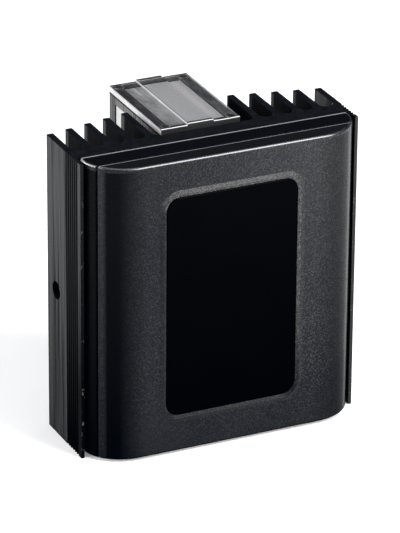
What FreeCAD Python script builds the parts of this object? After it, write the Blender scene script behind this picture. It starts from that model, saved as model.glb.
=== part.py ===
import FreeCAD, Part
import math
import os

from FreeCAD import Vector

# Infrared illuminator: a finned heat sink with a domed front that holds a black window,
# and a narrow driver box with a clear lid between the two groups of fins at the back.
# Millimetres, +Z up, front towards -Y. While it is built, y = 0 is the front face of the
# heat sink's base. The finished pieces are moved so that the origin is the middle of the
# whole object's footprint, at its lowest point.

# Heat sink: one extrusion, the same section all the way up
sink_width = 125.0
sink_height = 132.2
base_thickness = 8.2
bay_width = 45.4
fins_per_side = 5
fin_thickness = 3.0
outer_fin_length = 19.7
fin_length_step = 2.0
fin_tip_radius = 0.5
bay_root_radius = 3.0
lip_length = 6.95
lip_thickness = 1.4
rib_count = 6
rib_pitch = 2.1
rib_depth = 0.6
rib_mouth = 1.5
rib_floor = 0.9
first_rib_from_lip = 3.75
bracket_hole_diameter = 8.0
bracket_hole_from_base = 10.3

# Front: a frame on the base and a domed cover on the frame
front_side_gap = 0.9
front_bottom_gap = 1.2
front_top_rise = 0.25
cover_top_fall = 0.75
front_depth = 18.85
front_wall = 3.0
corner_reach_x = 19.2
rear_corner_radius = 1.6
side_straight = 0.2
front_edge_radius = 1.1
parting_radius = 0.3
frame_gasket_thickness = 1.0
frame_gasket_inset = 0.6
frame_depth = 9.75
parting_gap = 0.65
parting_inset = 1.0
gasket_land = 1.9

# Window, its bead, seal and retainer
window_width = 59.2
window_sill = 16.5
window_head = 16.55
window_corner_radius = 6.0
bead_ledge = 1.3
bead_slope = 1.8
bead_height = 0.65
ledge_depth = 0.8
pane_recess = 0.6
pane_edge = 0.4
pane_fit = 0.15
flange_reach = 3.0
flange_thickness = 1.8
window_seal_thickness = 0.8
retainer_thickness = 1.5
retainer_reach = 8.6
retainer_post_offset = 6.2
retainer_post_radius = 2.2
retainer_screw_diameter = 2.0
retainer_head_diameter = 3.8
retainer_head_height = 1.4
retainer_screw_length = 5.0
retainer_screw_side = 15.0

# Light source
led_pitch = 13.4
led_side_margin = 9.4
led_end_margin = 6.5
led_size = 3.5
led_body_height = 1.2
led_dome_radius = 1.3
led_dome_top_radius = 0.65
led_dome_height = 0.8
pad_thickness = 0.5
board_thickness = 1.6
board_margin = 2.4
lens_start_gap = 0.2
lens_small_radius = 2.9
lens_large_radius = 6.2
lens_length = 4.3
lens_plate_thickness = 1.0
lens_leg_radius = 3.2
lens_leg_from_lens = 4.5
lens_plate_margin = 1.0
board_screw_diameter = 3.0
board_screw_length = 13.0
board_head_diameter = 5.0
board_head_height = 1.8
sensor_size = 4.0
sensor_height = 1.8
sensor_eye_radius = 1.0
sensor_eye_depth = 0.4

# Screws that pull the front onto the base, from behind
cover_screw_diameter = 3.0
cover_screw_length = 20.0
cover_head_diameter = 5.5
cover_head_height = 3.0
cover_key_width = 2.5
cover_post_radius = 3.6
cover_post_overlap = 0.8
post_rib_thickness = 3.0

# Driver box at the back
case_side_gap = 4.87
case_seal_thickness = 1.0
case_foot_length = 3.57
case_foot_width = 28.0
case_foot_rise = 1.5
case_foot_below_top = 11.47
case_depth = 52.66
case_side_wall = 5.5
case_end_wall = 4.75
case_floor = 3.0
case_corner_radius = 0.3
case_recess_depth = 0.6
case_recess_from_top = 3.0
case_post_width = 6.0
case_notch_width = 0.6
case_notch_from_back = 26.63
panel_step = 0.6
panel_drop = 1.0
panel_thickness = 1.6
label_thickness = 0.2
label_margin = 0.4
lid_rise = 0.27
lid_overhang = 0.05
lid_thickness = 2.6
lid_band_width = 11.8
lid_band_height = 0.8
lid_edge = 0.35
lid_gasket_thickness = 0.85
lid_play = 0.05
lid_screw_inset = 3.03
lid_screw_diameter = 2.0
lid_screw_length = 9.0
lid_head_diameter = 3.6
lid_head_height = 1.3
lid_head_sunk = 0.1

# Screws through the base into the driver box
case_screw_diameter = 4.0
case_screw_length = 14.0
case_screw_head_diameter = 7.6
case_screw_spread = 18.0
case_screw_from_end = 18.0

# Driver electronics, slid into the box from above
driver_board_thickness = 1.6
driver_board_setback = 4.7
board_slot_depth = 1.2
board_slot_play = 0.15
connector_width = 6.0
connector_height = 5.0
connector_depth = 3.0
terminal_width = 15.0
terminal_height = 10.0
terminal_depth = 9.0
terminal_level = 13.0
terminal_ways = 3
terminal_hole_radius = 1.5
terminal_screw_rise = 7.0
terminal_hole_depth = 3.3
inductor_outer_radius = 8.5
inductor_inner_radius = 3.5
inductor_height = 8.0
inductor_level = 38.0
capacitor_radius = 4.0
capacitor_length = 16.0
capacitor_level = 62.0
capacitor_spread = 9.5
transistor_width = 10.0
transistor_height = 9.0
transistor_depth = 4.5
transistor_level = 74.0
chip_size = 5.0
chip_depth = 1.7
chip_below_board_top = 14.82
chip_spread = 16.0

# Leads from the light source to the driver board
lead_diameter = 2.0
lead_spacing = 2.3
lead_hole_diameter = 8.0
grommet_bore = 5.4
lead_slot_radius = 2.6
lead_above_case_floor = 9.3

# Cable gland under the driver box
gland_thread_diameter = 16.0
gland_bore = 7.0
gland_insert_diameter = 11.0
gland_hex_width = 19.0
gland_hex_height = 5.0
gland_nut_diameter = 18.6
gland_nut_height = 12.0
gland_nut_taper = 3.0
gland_thread_below = 9.0
gland_thread_above = 9.0
gland_locknut_width = 19.0
gland_locknut_height = 4.0
gland_from_back = 26.33

# Cross recess of a pan head, as shares of the head
recess_width_share = 0.17
recess_span_share = 0.66
recess_depth_share = 0.5

# Clearances and a tolerance for finding edges
thread_clearance = 0.05
screw_clearance = 0.2
hole_extra = 0.6
dip = 1.0
near = 0.01

# Levels and planes worked out from the sizes above
sink_half = sink_width / 2
bay_half = bay_width / 2
fin_pitch = (sink_half - bay_half - fin_thickness) / (fins_per_side - 1)
valley_width = fin_pitch - fin_thickness
front_half = sink_half - lip_thickness - front_side_gap
front_bottom = front_bottom_gap
front_top = sink_height + front_top_rise
frame_back = -frame_gasket_thickness
frame_front = frame_back - frame_depth
cover_back = frame_front - parting_gap
cover_front = -front_depth
bend_start = frame_back - rear_corner_radius - side_straight
cover_inside = cover_front + front_wall
window_bottom = front_bottom + window_sill
window_height = front_top - front_bottom - window_sill - window_head
window_middle = window_bottom + window_height / 2
seal_back = cover_inside + window_seal_thickness
flange_back = seal_back + flange_thickness
retainer_back = flange_back + retainer_thickness
board_back = -pad_thickness
board_front = board_back - board_thickness
led_top = board_front - led_body_height - led_dome_height
lens_back = led_top - lens_start_gap
lens_plate_back = lens_back - lens_length
lens_plate_front = lens_plate_back - lens_plate_thickness
led_columns = int((window_width - 2 * led_side_margin) / led_pitch) + 1
led_rows = int((window_height - 2 * led_end_margin) / led_pitch) + 1
led_half_x = (led_columns - 1) * led_pitch / 2
led_half_z = (led_rows - 1) * led_pitch / 2
leg_x = led_half_x + lens_large_radius + lens_leg_radius + lens_leg_from_lens
leg_z = led_half_z + lens_large_radius
retainer_screw_rise = leg_z / 2
lens_plate_half_x = leg_x + lens_leg_radius + lens_plate_margin
lens_plate_half_z = leg_z + lens_leg_radius + lens_plate_margin
board_half_x = lens_plate_half_x + board_margin
board_half_z = lens_plate_half_z + board_margin
post_x = sink_half - fin_thickness - fin_pitch - valley_width / 2
post_inside_top = front_top - front_wall
post_inside_bottom = front_bottom + front_wall
head_seat = base_thickness - cover_head_height
case_front = base_thickness + case_seal_thickness + case_foot_length
case_back = case_front + case_depth
case_half = bay_half - case_side_gap
case_inner_half = case_half - case_side_wall
case_inner_front = case_front + case_end_wall
case_inner_back = case_back - case_end_wall
lead_level = window_middle - led_half_z + led_pitch / 2
case_floor_level = lead_level - lead_above_case_floor
case_inner_floor = case_floor_level + case_floor
lid_top = sink_height + lid_rise
lid_bottom = lid_top - lid_thickness
lid_gasket_top = lid_bottom - lid_play
case_top = lid_gasket_top - lid_gasket_thickness
panel_ledge = case_top - panel_drop
lid_seat = lid_top - lid_head_sunk - lid_head_height
lid_half = case_half + lid_overhang
lid_front = case_front - lid_overhang
lid_back = case_back + lid_overhang
foot_bottom = case_floor_level + case_foot_rise
foot_top = case_top - case_foot_below_top
driver_front = case_inner_front + driver_board_setback
driver_back = driver_front + driver_board_thickness
driver_top = panel_ledge - board_slot_play
gland_y = case_back - gland_from_back
middle_y = (lid_back + cover_front - bead_height) / 2


def box(x0, x1, y0, y1, z0, z1):
    return Part.makeBox(x1 - x0, y1 - y0, z1 - z0, Vector(x0, y0, z0))


def rod_x(radius, x0, x1, y, z):
    return Part.makeCylinder(radius, x1 - x0, Vector(x0, y, z), Vector(1, 0, 0))


def rod_y(radius, y0, y1, x, z):
    return Part.makeCylinder(radius, y1 - y0, Vector(x, y0, z), Vector(0, 1, 0))


def rod_z(radius, z0, z1, x, y):
    return Part.makeCylinder(radius, z1 - z0, Vector(x, y, z0), Vector(0, 0, 1))


def cone_y(radius0, radius1, y0, y1, x, z):
    return Part.makeCone(radius0, radius1, y1 - y0, Vector(x, y0, z), Vector(0, 1, 0))


def hexagon_y(width, y0, y1, x, z):
    """A six-sided prism along Y, its width measured across the flats."""
    reach = width / math.sqrt(3)
    points = [
        Vector(x + reach * math.cos(k * math.pi / 3), y0, z + reach * math.sin(k * math.pi / 3))
        for k in range(7)
    ]
    return Part.Face(Part.makePolygon(points)).extrude(Vector(0, y1 - y0, 0))


def hexagon_z(width, z0, z1, x, y):
    """A six-sided prism along Z, its width measured across the flats."""
    reach = width / math.sqrt(3)
    points = [
        Vector(x + reach * math.cos(k * math.pi / 3), y + reach * math.sin(k * math.pi / 3), z0)
        for k in range(7)
    ]
    return Part.Face(Part.makePolygon(points)).extrude(Vector(0, 0, z1 - z0))


def arc(centre, radius, start, end):
    """An arc in the XY plane, angles in degrees."""
    angles = [math.radians(a) for a in (start, (start + end) / 2, end)]
    points = [centre + Vector(radius * math.cos(a), radius * math.sin(a), 0) for a in angles]
    return Part.Arc(*points).toShape()


def line(a, b):
    return Part.LineSegment(a, b).toShape()


def polyline(points):
    return [line(a, b) for a, b in zip(points, points[1:])]


def quarter_ellipse(start, corner, end):
    """A quarter of an ellipse that leaves start towards corner and arrives at end."""
    curve = Part.BSplineCurve()
    curve.buildFromPolesMultsKnots(
        [start, corner, end], [3, 3], [0, 1], False, 2, [1, math.sqrt(0.5), 1]
    )
    return curve.toShape()


def rounded_wire(half_x, half_z, radius, y, z):
    """A rounded rectangle in the XZ plane, about x = 0 and the height z."""
    edges = []
    corners = [(1, 1), (-1, 1), (-1, -1), (1, -1)]
    ends = []
    for k, (side_x, side_z) in enumerate(corners):
        centre_x = side_x * (half_x - radius)
        centre_z = z + side_z * (half_z - radius)
        angles = [(k + part) * math.pi / 2 for part in (0, 0.5, 1)]
        points = [
            Vector(centre_x + radius * math.cos(a), y, centre_z + radius * math.sin(a))
            for a in angles
        ]
        edges.append(Part.Arc(*points).toShape())
        ends.append((points[0], points[2]))
    for k in range(4):
        edges.append(line(ends[k][1], ends[(k + 1) % 4][0]))
    return Part.Wire(Part.__sortEdges__(edges))


def rounded_plate(half_x, half_z, radius, y0, y1, z):
    face = Part.Face(rounded_wire(half_x, half_z, radius, y0, z))
    return face.extrude(Vector(0, y1 - y0, 0))


def rounded_frustum(half_x, half_z, radius, y0, grow, y1, z):
    """A rounded rectangle at y0 that is larger by grow all round at y1."""
    first = rounded_wire(half_x, half_z, radius, y0, z)
    second = rounded_wire(half_x + grow, half_z + grow, radius + grow, y1, z)
    return Part.makeLoft([first, second], True, True)


def both_sides(shape):
    return shape.fuse(shape.mirror(Vector(0, 0, 0), Vector(1, 0, 0)))


def window_points():
    """Places of the screws that hold the window's retainer."""
    side_x = window_width / 2 + retainer_post_offset
    end_z = window_height / 2 + retainer_post_offset
    points = []
    for side in (-1, 1):
        points.append((side * side_x, window_middle - retainer_screw_rise))
        points.append((side * side_x, window_middle + retainer_screw_rise))
        points.append((side * retainer_screw_side, window_middle - end_z))
        points.append((side * retainer_screw_side, window_middle + end_z))
    return points


def leg_points():
    return [
        (side * leg_x, window_middle + row * leg_z)
        for side in (-1, 1)
        for row in (-1, 0, 1)
    ]


def led_points():
    return [
        (column * led_pitch - led_half_x, window_middle + row * led_pitch - led_half_z)
        for column in range(led_columns)
        for row in range(led_rows)
    ]


def post_points():
    """Places of the screws that hold the front, each behind a valley between two fins."""
    low = post_inside_bottom + cover_post_radius - cover_post_overlap
    high = post_inside_top - cover_post_radius + cover_post_overlap
    return [(side * post_x, z) for side in (-1, 1) for z in (low, (low + high) / 2, high)]


def case_screw_points():
    low = foot_bottom + case_screw_from_end
    high = foot_top - case_screw_from_end
    return [(side * case_screw_spread / 2, z) for side in (-1, 1) for z in (low, high)]


def lid_screw_points():
    x = case_half - lid_screw_inset
    return [
        (side * x, y)
        for side in (-1, 1)
        for y in (case_front + lid_screw_inset, case_back - lid_screw_inset)
    ]


def fin_edges(left, right, tip):
    """The end of one fin, from its left side at tip to its right side at tip."""
    r = fin_tip_radius
    return [
        arc(Vector(left + r, tip - r, 0), r, 180, 90),
        line(Vector(left + r, tip, 0), Vector(right - r, tip, 0)),
        arc(Vector(right - r, tip - r, 0), r, 90, 0),
    ]


def wall_points():
    """The outer wall's ribbed side, from the lip's end to the outer fin's tip."""
    points = [Vector(-sink_half, -lip_length, 0)]
    for k in range(rib_count):
        middle = -lip_length + first_rib_from_lip + k * rib_pitch
        points.append(Vector(-sink_half, middle - rib_mouth / 2, 0))
        points.append(Vector(-sink_half + rib_depth, middle - rib_floor / 2, 0))
        points.append(Vector(-sink_half + rib_depth, middle + rib_floor / 2, 0))
        points.append(Vector(-sink_half, middle + rib_mouth / 2, 0))
    points.append(Vector(-sink_half, base_thickness + outer_fin_length - fin_tip_radius, 0))
    return points


def half_section():
    """The left half of the extrusion's outline, from the middle of the front to the bay."""
    lip_inside = sink_half - lip_thickness
    edges = polyline(
        [
            Vector(0, 0, 0),
            Vector(-lip_inside, 0, 0),
            Vector(-lip_inside, -lip_length, 0),
        ]
        + wall_points()
    )
    root = base_thickness + valley_width / 2
    for k in range(fins_per_side):
        left = -sink_half + k * fin_pitch
        right = left + fin_thickness
        tip = base_thickness + outer_fin_length + k * fin_length_step
        edges += fin_edges(left, right, tip)
        if k + 1 < fins_per_side:
            middle = right + valley_width / 2
            next_tip = tip + fin_length_step
            edges.append(line(Vector(right, tip - fin_tip_radius, 0), Vector(right, root, 0)))
            edges.append(arc(Vector(middle, root, 0), valley_width / 2, 180, 360))
            edges.append(
                line(
                    Vector(right + valley_width, root, 0),
                    Vector(right + valley_width, next_tip - fin_tip_radius, 0),
                )
            )
    floor = base_thickness + bay_root_radius
    corner = Vector(-bay_half + bay_root_radius, floor, 0)
    edges.append(line(Vector(-bay_half, tip - fin_tip_radius, 0), Vector(-bay_half, floor, 0)))
    edges.append(arc(corner, bay_root_radius, 180, 270))
    edges.append(
        line(Vector(corner.x, base_thickness, 0), Vector(0, base_thickness, 0))
    )
    return edges


def heat_sink():
    left = half_section()
    right = [e.mirror(Vector(0, 0, 0), Vector(1, 0, 0)) for e in left]
    outline = Part.Wire(Part.__sortEdges__(left + right))
    body = Part.Face(outline).extrude(Vector(0, 0, sink_height))
    cuts = []
    hole_y = base_thickness + bracket_hole_from_base
    hole_z = sink_height / 2
    radius = bracket_hole_diameter / 2
    cuts.append(rod_x(radius, -sink_half - dip, -sink_half + fin_thickness + dip, hole_y, hole_z))
    cuts.append(rod_x(radius, sink_half - fin_thickness - dip, sink_half + dip, hole_y, hole_z))
    shank = cover_screw_diameter / 2 + screw_clearance
    head = cover_head_diameter / 2 + screw_clearance
    for x, z in post_points():
        cuts.append(rod_y(shank, -dip, base_thickness + dip, x, z))
        cuts.append(rod_y(head, head_seat, base_thickness + valley_width / 2, x, z))
    thread = board_screw_diameter / 2 + thread_clearance
    depth = lens_plate_front + board_screw_length + hole_extra
    for x, z in leg_points():
        cuts.append(rod_y(thread, -dip, depth, x, z))
    shank = case_screw_diameter / 2 + screw_clearance
    sink_depth = (case_screw_head_diameter - case_screw_diameter) / 2
    wide = case_screw_head_diameter / 2 + screw_clearance
    for x, z in case_screw_points():
        cuts.append(rod_y(shank, -dip, base_thickness + dip, x, z))
        cuts.append(cone_y(wide, shank, 0, sink_depth, x, z))
    cuts.append(rod_y(lead_hole_diameter / 2, -dip, base_thickness + dip, 0, lead_level))
    return body.cut(cuts)


def front_block(inset, back, back_radius, top=front_top):
    """The domed front, set in by inset all round, as a solid that ends at back."""
    half = front_half - inset
    front = cover_front + inset
    left_back = Vector(-half + back_radius, back, 0)
    side_back = Vector(-half, back - back_radius, 0)
    side_front = Vector(-half, bend_start, 0)
    flat_end = Vector(corner_reach_x - front_half, front, 0)
    middle = Vector(left_back.x, side_back.y, 0)
    left = [
        line(Vector(0, back, 0), left_back),
        arc(middle, back_radius, 90, 180),
        line(side_back, side_front),
        quarter_ellipse(side_front, Vector(-half, front, 0), flat_end),
        line(flat_end, Vector(0, front, 0)),
    ]
    right = [e.mirror(Vector(0, 0, 0), Vector(1, 0, 0)) for e in left]
    outline = Part.Wire(Part.__sortEdges__(left + right))
    block = Part.Face(outline).extrude(Vector(0, 0, top - front_bottom - 2 * inset))
    block.translate(Vector(0, 0, front_bottom + inset))
    return block


def slab(y0, y1):
    """Everything between two depths."""
    return box(-sink_half, sink_half, y0, y1, -dip, sink_height + dip)


def cover_top_level(y):
    """The height of the cover's top, which falls from the parting to the front face."""
    return front_top - cover_top_fall * (cover_back - y) / (cover_back - cover_front)


def on_bottom(edge):
    return edge.BoundBox.ZMax < front_bottom + near


def on_level_top(edge):
    return edge.BoundBox.ZMin > front_top - near


def on_falling_top(edge):
    return all(abs(v.Z - cover_top_level(v.Y)) < near for v in edge.Vertexes)


def frame_form():
    """The frame's outer form before it is cut to depth: level on top, its rear edge sharp."""
    block = front_block(0, frame_front + 2 * frame_depth, rear_corner_radius)
    rim = [e for e in block.Edges if on_bottom(e) or on_level_top(e)]
    block = block.makeFillet(front_edge_radius, rim)
    return block.common(front_block(0, frame_back, rear_corner_radius))


def cover_form():
    """The cover's outer form before it is cut to depth: its top falls towards the front."""
    block = front_block(0, frame_back, rear_corner_radius, front_top + 2 * dip)
    ends = [Vector(-sink_half, y, cover_top_level(y)) for y in (cover_front - dip, dip)]
    high = [end + Vector(0, 0, 3 * dip) for end in reversed(ends)]
    above = Part.Face(Part.makePolygon(ends + high + ends[:1]))
    block = block.cut(above.extrude(Vector(sink_width, 0, 0)))
    rim = [e for e in block.Edges if on_bottom(e) or on_falling_top(e)]
    return block.makeFillet(front_edge_radius, rim)


def inner_front():
    return front_block(front_wall, dip, front_wall / 2)


def rim_edges(shape, y):
    """The edges of a slice of the front that lie in the plane where it was cut."""
    return [
        e for e in shape.Edges if e.BoundBox.YLength < near and abs(e.BoundBox.YMin - y) < near
    ]


def posts(y0, y1):
    """The screw posts, each tied to the side wall by a rib, with no holes yet."""
    solids = []
    half = post_rib_thickness / 2
    for x, z in post_points():
        wall = math.copysign(front_half, x)
        solids.append(rod_y(cover_post_radius, y0, y1, x, z))
        solids.append(box(min(x, wall), max(x, wall), y0, y1, z - half, z + half))
    inside = front_block(front_wall / 2, frame_back, rear_corner_radius)
    return solids[0].fuse(solids[1:]).common(inside)


def front_frame():
    body = frame_form().common(slab(frame_front, frame_back)).cut(inner_front())
    body = body.fuse(posts(frame_front, frame_back))
    hole = cover_screw_diameter / 2 + screw_clearance
    return body.cut([rod_y(hole, frame_front - dip, dip, x, z) for x, z in post_points()])


def window_opening():
    """The opening through the cover and the sloped ledge inside the bead."""
    half_x = window_width / 2
    half_z = window_height / 2
    bead_front = cover_front - bead_height
    hole = rounded_plate(
        half_x, half_z, window_corner_radius, bead_front - dip, cover_inside + dip, window_middle
    )
    ledge = rounded_frustum(
        half_x, half_z, window_corner_radius, bead_front + ledge_depth, bead_ledge, bead_front,
        window_middle,
    )
    return hole.fuse(ledge)


def bead():
    """The raised border round the window, seated half a wall deep in the cover."""
    reach = bead_ledge + bead_slope
    half_x = window_width / 2 + reach
    half_z = window_height / 2 + reach
    radius = window_corner_radius + reach
    top = rounded_frustum(
        half_x, half_z, radius, cover_front, -bead_slope, cover_front - bead_height, window_middle
    )
    root = rounded_plate(
        half_x, half_z, radius, cover_front, cover_front + front_wall / 2, window_middle
    )
    return top.fuse(root)


def front_cover():
    body = cover_form().common(slab(cover_front - dip, cover_back)).Solids[0]
    body = body.makeFillet(parting_radius, rim_edges(body, cover_back)).cut(inner_front())
    post_front = cover_inside - front_wall / 4
    body = body.fuse([posts(post_front, cover_back), bead()])
    cuts = [window_opening()]
    thread = cover_screw_diameter / 2 + thread_clearance
    tip = head_seat - cover_screw_length
    for x, z in post_points():
        cuts.append(rod_y(thread, tip - hole_extra, cover_back + dip, x, z))
    stubs = []
    thread = retainer_screw_diameter / 2 + thread_clearance
    tip = retainer_back - retainer_screw_length
    for x, z in window_points():
        stubs.append(rod_y(retainer_post_radius, post_front, flange_back, x, z))
        cuts.append(rod_y(thread, tip - hole_extra / 2, flange_back + dip, x, z))
    return body.fuse(stubs).cut(cuts)


def cover_gasket():
    outer = front_block(parting_inset, frame_back, rear_corner_radius)
    inner = front_block(parting_inset + gasket_land, dip, front_wall / 2)
    return outer.cut(inner).common(slab(cover_back, frame_front))


def frame_gasket():
    half = front_half - frame_gasket_inset
    half_z = (front_top - front_bottom) / 2 - frame_gasket_inset
    middle = (front_top + front_bottom) / 2
    land = front_wall - frame_gasket_inset
    radius = rear_corner_radius
    ring = rounded_plate(half, half_z, radius, frame_back, 0, middle)
    hole = rounded_plate(half - land, half_z - land, radius, frame_back - dip, dip, middle)
    return ring.cut(hole)


def window_pane():
    half_x = window_width / 2
    half_z = window_height / 2
    r = window_corner_radius
    flange = rounded_plate(
        half_x + flange_reach, half_z + flange_reach, r + flange_reach, seal_back, flange_back,
        window_middle,
    )
    face = cover_front - bead_height + pane_recess
    raised = rounded_plate(
        half_x - pane_fit, half_z - pane_fit, r - pane_fit, face + pane_edge, seal_back,
        window_middle,
    )
    edge = rounded_frustum(
        half_x - pane_fit, half_z - pane_fit, r - pane_fit, face + pane_edge, -pane_edge, face,
        window_middle,
    )
    return flange.fuse([raised, edge])


def window_ring(outer_reach, inner_reach, y0, y1):
    half_x = window_width / 2
    half_z = window_height / 2
    r = window_corner_radius
    outer = rounded_plate(
        half_x + outer_reach, half_z + outer_reach, r + outer_reach, y0, y1, window_middle
    )
    inner = rounded_plate(
        half_x + inner_reach, half_z + inner_reach, r + inner_reach, y0 - dip, y1 + dip,
        window_middle,
    )
    return outer.cut(inner)


def window_seal():
    return window_ring(flange_reach, pane_fit, cover_inside, seal_back)


def window_retainer():
    ring = window_ring(retainer_reach, 0, flange_back, retainer_back)
    hole = retainer_screw_diameter / 2 + screw_clearance
    return ring.cut(
        [rod_y(hole, flange_back - dip, retainer_back + dip, x, z) for x, z in window_points()]
    )


def pan_screw(diameter, length, head_diameter, head_height):
    """A cross-recess screw, its tip below and its head's underside at z = 0."""
    shank = rod_z(diameter / 2, -length, 0, 0, 0)
    head = rod_z(head_diameter / 2, 0, head_height, 0, 0)
    half = head_diameter * recess_width_share / 2
    reach = head_diameter * recess_span_share / 2
    floor = head_height * (1 - recess_depth_share)
    slot = box(-half, half, -reach, reach, floor, head_height)
    cross = box(-reach, reach, -half, half, floor, head_height)
    return shank.fuse(head).cut([slot, cross])


def placed(shape, turn, x, y, z):
    """A copy turned about X by an angle in degrees and moved to its place."""
    copy = shape.copy()
    copy.rotate(Vector(0, 0, 0), Vector(1, 0, 0), turn)
    copy.translate(Vector(x, y, z))
    return copy


def retainer_screws():
    screw = pan_screw(
        retainer_screw_diameter, retainer_screw_length, retainer_head_diameter,
        retainer_head_height,
    )
    return [placed(screw, -90, x, retainer_back, z) for x, z in window_points()]


def thermal_pad():
    return drilled_board(board_back, 0)


def led_board():
    return drilled_board(board_front, board_back)


def drilled_board(y0, y1):
    """A plate of the board's outline with its screw holes and the hole for the leads."""
    plate = box(
        -board_half_x, board_half_x, y0, y1, window_middle - board_half_z,
        window_middle + board_half_z,
    )
    hole = board_screw_diameter / 2 + screw_clearance
    cuts = [rod_y(hole, y0 - dip, y1 + dip, x, z) for x, z in leg_points()]
    cuts.append(rod_y(lead_slot_radius, y0 - dip, y1 + dip, 0, lead_level))
    return plate.cut(cuts)


def leds():
    solids = []
    half = led_size / 2
    body_front = board_front - led_body_height
    for x, z in led_points():
        body = box(x - half, x + half, body_front, board_front, z - half, z + half)
        dome = cone_y(led_dome_top_radius, led_dome_radius, led_top, body_front, x, z)
        solids.append(body.fuse(dome))
    return solids


def lens_array():
    plate = box(
        -lens_plate_half_x, lens_plate_half_x, lens_plate_front, lens_plate_back,
        window_middle - lens_plate_half_z, window_middle + lens_plate_half_z,
    )
    lenses = [
        cone_y(lens_large_radius, lens_small_radius, lens_plate_back, lens_back, x, z)
        for x, z in led_points()
    ]
    legs = [rod_y(lens_leg_radius, lens_plate_back, board_front, x, z) for x, z in leg_points()]
    hole = board_screw_diameter / 2 + screw_clearance
    cuts = [
        rod_y(hole, lens_plate_front - dip, board_front + dip, x, z) for x, z in leg_points()
    ]
    return plate.fuse(lenses + legs).cut(cuts)


def board_screws():
    screw = pan_screw(
        board_screw_diameter, board_screw_length, board_head_diameter, board_head_height
    )
    return [placed(screw, 90, x, lens_plate_front, z) for x, z in leg_points()]


def small_connector(y0, y1):
    half_x = connector_width / 2
    half_z = connector_height / 2
    return box(-half_x, half_x, y0, y1, lead_level - half_z, lead_level + half_z)


def light_sensor():
    half = sensor_size / 2
    z = window_middle + led_half_z - led_pitch / 2
    y0 = board_front - sensor_height
    body = box(-half, half, y0, board_front, z - half, z + half)
    return body.cut(rod_y(sensor_eye_radius, y0 - dip, y0 + sensor_eye_depth, 0, z))


def cover_screws():
    solids = []
    for x, z in post_points():
        shank = rod_y(cover_screw_diameter / 2, head_seat - cover_screw_length, head_seat, x, z)
        head = rod_y(cover_head_diameter / 2, head_seat, base_thickness, x, z)
        key = hexagon_y(cover_key_width, head_seat + cover_head_height / 2, base_thickness, x, z)
        solids.append(shank.fuse(head).cut(key))
    return solids


def driver_case():
    r = case_corner_radius
    body = box(-case_half, case_half, case_front, case_back, case_floor_level, case_top)
    uprights = [
        e for e in body.Edges if e.BoundBox.XLength < near and e.BoundBox.YLength < near
    ]
    body = body.makeFillet(r, uprights)
    foot = box(
        -case_foot_width / 2, case_foot_width / 2, case_front - case_foot_length,
        case_inner_front, foot_bottom, foot_top,
    )
    body = body.fuse(foot)
    cuts = [
        box(
            -case_inner_half, case_inner_half, case_inner_front, case_inner_back,
            case_inner_floor, case_top + dip,
        ),
        box(
            -case_inner_half - panel_step, case_inner_half + panel_step,
            case_inner_front - panel_step, case_inner_back + panel_step,
            panel_ledge, case_top + dip,
        ),
        box(
            -case_inner_half - board_slot_depth, case_inner_half + board_slot_depth,
            driver_front - board_slot_play, driver_back + board_slot_play,
            case_inner_floor, case_top + dip,
        ),
        rod_z(
            gland_thread_diameter / 2 + screw_clearance, case_floor_level - dip,
            case_inner_floor + dip, 0, gland_y,
        ),
        rod_y(lead_hole_diameter / 2, base_thickness, case_inner_front + dip, 0, lead_level),
    ]
    outside = case_half - case_recess_depth
    recess = box(
        outside, case_half + dip, case_front + case_post_width, case_back - case_post_width,
        case_floor_level + case_post_width, case_top - case_recess_from_top,
    )
    notch_y = case_back - case_notch_from_back
    notch = box(
        outside, case_half + dip, notch_y - case_notch_width / 2, notch_y + case_notch_width / 2,
        case_top - case_recess_from_top - dip, case_top + dip,
    )
    cuts.append(both_sides(recess.fuse(notch)))
    thread = case_screw_diameter / 2 + thread_clearance
    for x, z in case_screw_points():
        cuts.append(rod_y(thread, base_thickness, case_screw_length + hole_extra, x, z))
    thread = lid_screw_diameter / 2 + thread_clearance
    tip = lid_seat - lid_screw_length
    for x, y in lid_screw_points():
        cuts.append(rod_z(thread, tip - hole_extra, case_top + dip, x, y))
    return body.cut(cuts)


def case_seal():
    plate = box(
        -case_foot_width / 2, case_foot_width / 2, base_thickness,
        base_thickness + case_seal_thickness, foot_bottom, foot_top,
    )
    hole = case_screw_diameter / 2 + screw_clearance
    cuts = [rod_y(hole, 0, case_front, x, z) for x, z in case_screw_points()]
    cuts.append(rod_y(lead_hole_diameter / 2, 0, case_front, 0, lead_level))
    return plate.cut(cuts)


def case_screws():
    solids = []
    shank = case_screw_diameter / 2
    wide = case_screw_head_diameter / 2
    head = wide - shank
    for x, z in case_screw_points():
        body = rod_y(shank, 0, case_screw_length, x, z)
        body = body.fuse(cone_y(wide, shank, 0, head, x, z))
        solids.append(body.cut(hexagon_y(cover_key_width, 0, head, x, z)))
    return solids


def side_label():
    x1 = -case_half + case_recess_depth
    return box(
        x1 - label_thickness, x1, case_front + case_post_width + label_margin,
        case_back - case_post_width - label_margin,
        case_floor_level + case_post_width + label_margin,
        case_top - case_recess_from_top - label_margin,
    )


def lid_gasket():
    outer = box(-case_half, case_half, case_front, case_back, case_top, lid_gasket_top)
    reach = case_inner_half + panel_step
    inner = box(
        -reach, reach, case_inner_front - panel_step, case_inner_back + panel_step,
        case_top - dip, lid_bottom + dip,
    )
    hole = lid_screw_diameter / 2 + screw_clearance
    cuts = [rod_z(hole, case_top - dip, lid_bottom + dip, x, y) for x, y in lid_screw_points()]
    return outer.cut([inner] + cuts)


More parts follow.
